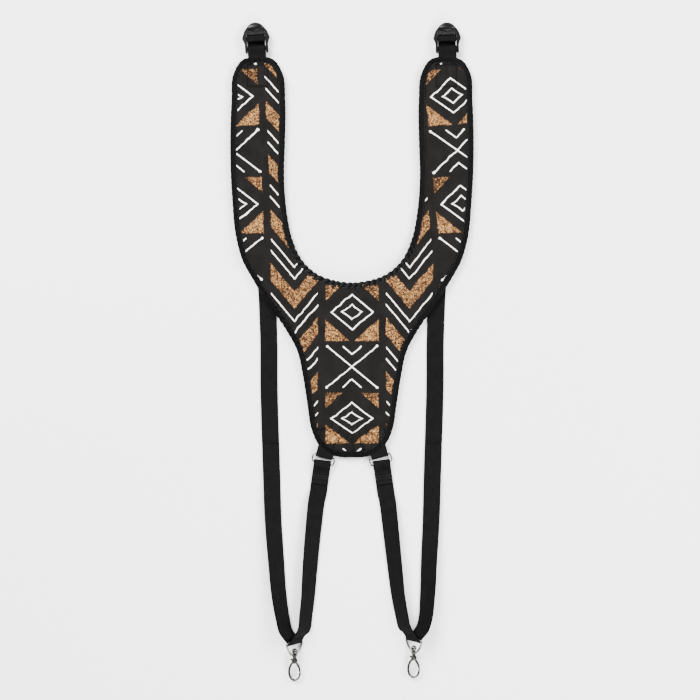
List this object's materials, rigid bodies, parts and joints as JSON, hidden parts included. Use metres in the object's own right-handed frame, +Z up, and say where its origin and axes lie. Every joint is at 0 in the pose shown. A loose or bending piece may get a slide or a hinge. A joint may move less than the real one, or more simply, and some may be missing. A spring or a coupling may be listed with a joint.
{
  "type": "saxophone shoulder harness",
  "caption": "Padded shoulder harness for a saxophone: a fabric yoke with adjustable webbing straps through ladder-lock buckles, each ending in a swivel snap hook.",
  "frame": {"origin": "centre of the bounding box at the level of the table the harness lies flat on", "axes": "+X across the harness to the right, +Y from the hooks towards the shoulder arms' buckles, +Z up from the table"},
  "size_m": [0.2806, 0.7578, 0.0199],
  "materials": {
    "print_cotton": "woven cotton with a geometric print in white and tan on charcoal",
    "foam": "closed-cell padding",
    "lining": "matt woven lining",
    "binding": "black folded tape, slight sheen",
    "webbing": "black ribbed webbing",
    "buckle_plastic": "moulded black plastic",
    "ring_wire": "nickel plate",
    "hook_metal": "nickel plate",
    "pin_steel": "plain steel"
  },
  "bodies": {
    "yoke": {"yoke_front_panel": "print_cotton", "yoke_foam": "foam", "yoke_back_lining": "lining", "edge_binding": "binding", "left_buckle_tab": "webbing", "left_ring_tab": "webbing", "left_strap_upper": "webbing", "right_buckle_tab": "webbing", "right_ring_tab": "webbing", "right_strap_upper": "webbing"},
    "left_buckle": {"left_ladder_lock": "buckle_plastic", "left_strap_thread": "webbing"},
    "left_ring_body": {"left_ring": "ring_wire"},
    "left_strap": {"left_strap_ring_loop": "webbing", "left_strap_inner": "webbing", "left_strap_hook_fold": "webbing", "left_strap_outer": "webbing"},
    "left_loop": {"left_hook_loop": "hook_metal"},
    "left_hook": {"left_swivel_post": "hook_metal", "left_hook_body": "hook_metal", "left_gate_pin": "pin_steel", "left_gate_spring": "pin_steel"},
    "left_gate_lever": {"left_gate": "hook_metal"},
    "right_buckle": {"right_ladder_lock": "buckle_plastic", "right_strap_thread": "webbing"},
    "right_ring_body": {"right_ring": "ring_wire"},
    "right_strap": {"right_strap_ring_loop": "webbing", "right_strap_inner": "webbing", "right_strap_hook_fold": "webbing", "right_strap_outer": "webbing"},
    "right_loop": {"right_hook_loop": "hook_metal"},
    "right_hook": {"right_swivel_post": "hook_metal", "right_hook_body": "hook_metal", "right_gate_pin": "pin_steel", "right_gate_spring": "pin_steel"},
    "right_gate_lever": {"right_gate": "hook_metal"}
  },
  "joints": [
    {"name": "left_buckle_tilt", "type": "hinge", "parent": "yoke", "child": "left_buckle", "pos_m": [-0.1096, 0.3485, 0.0062], "axis": [0.9976, 0.0698, 0], "range_deg": [0, 80]},
    {"name": "left_ring_swing", "type": "hinge", "parent": "yoke", "child": "left_ring_body", "pos_m": [-0.03184, -0.11945, 0.0044], "axis": [-0.9659, 0.2588, 0], "range_deg": [0, 30]},
    {"name": "left_strap_swing", "type": "hinge", "parent": "left_ring_body", "child": "left_strap", "pos_m": [-0.03417, -0.12815, 0.0044], "axis": [-0.9659, 0.2588, 0], "range_deg": [0, 25]},
    {"name": "left_hook_tilt", "type": "hinge", "parent": "left_strap", "child": "left_loop", "pos_m": [-0.066, -0.333, 0.0102], "axis": [-0.7071, -0.1045, 0.6993], "range_deg": [-10, 80]},
    {"name": "left_hook_swivel", "type": "hinge", "parent": "left_loop", "child": "left_hook", "pos_m": [-0.066, -0.34724, 0.00807], "axis": [0, -0.989, -0.1478], "continuous": true},
    {"name": "left_gate_open", "type": "hinge", "parent": "left_hook", "child": "left_gate_lever", "pos_m": [-0.066, -0.35466, 0.00696], "axis": [0, 0.1478, -0.989], "range_deg": [0, 22], "stiffness_Nm_per_rad": 0.01, "springref_deg": -22.92},
    {"name": "right_buckle_tilt", "type": "hinge", "parent": "yoke", "child": "right_buckle", "pos_m": [0.1096, 0.3485, 0.0062], "axis": [0.9997, 0.0262, 0], "range_deg": [0, 80]},
    {"name": "right_ring_swing", "type": "hinge", "parent": "yoke", "child": "right_ring_body", "pos_m": [0.03184, -0.11945, 0.0044], "axis": [-0.9659, -0.2588, 0], "range_deg": [0, 30]},
    {"name": "right_strap_swing", "type": "hinge", "parent": "right_ring_body", "child": "right_strap", "pos_m": [0.03417, -0.12815, 0.0044], "axis": [-0.9659, -0.2588, 0], "range_deg": [0, 25]},
    {"name": "right_hook_tilt", "type": "hinge", "parent": "right_strap", "child": "right_loop", "pos_m": [0.071, -0.3296, 0.0102], "axis": [-0.7071, 0.1045, -0.6993], "range_deg": [-10, 80]},
    {"name": "right_hook_swivel", "type": "hinge", "parent": "right_loop", "child": "right_hook", "pos_m": [0.071, -0.34384, 0.00807], "axis": [0, -0.989, -0.1478], "continuous": true},
    {"name": "right_gate_open", "type": "hinge", "parent": "right_hook", "child": "right_gate_lever", "pos_m": [0.071, -0.35126, 0.00696], "axis": [0, 0.1478, -0.989], "range_deg": [0, 22], "stiffness_Nm_per_rad": 0.01, "springref_deg": -22.92}
  ]
}
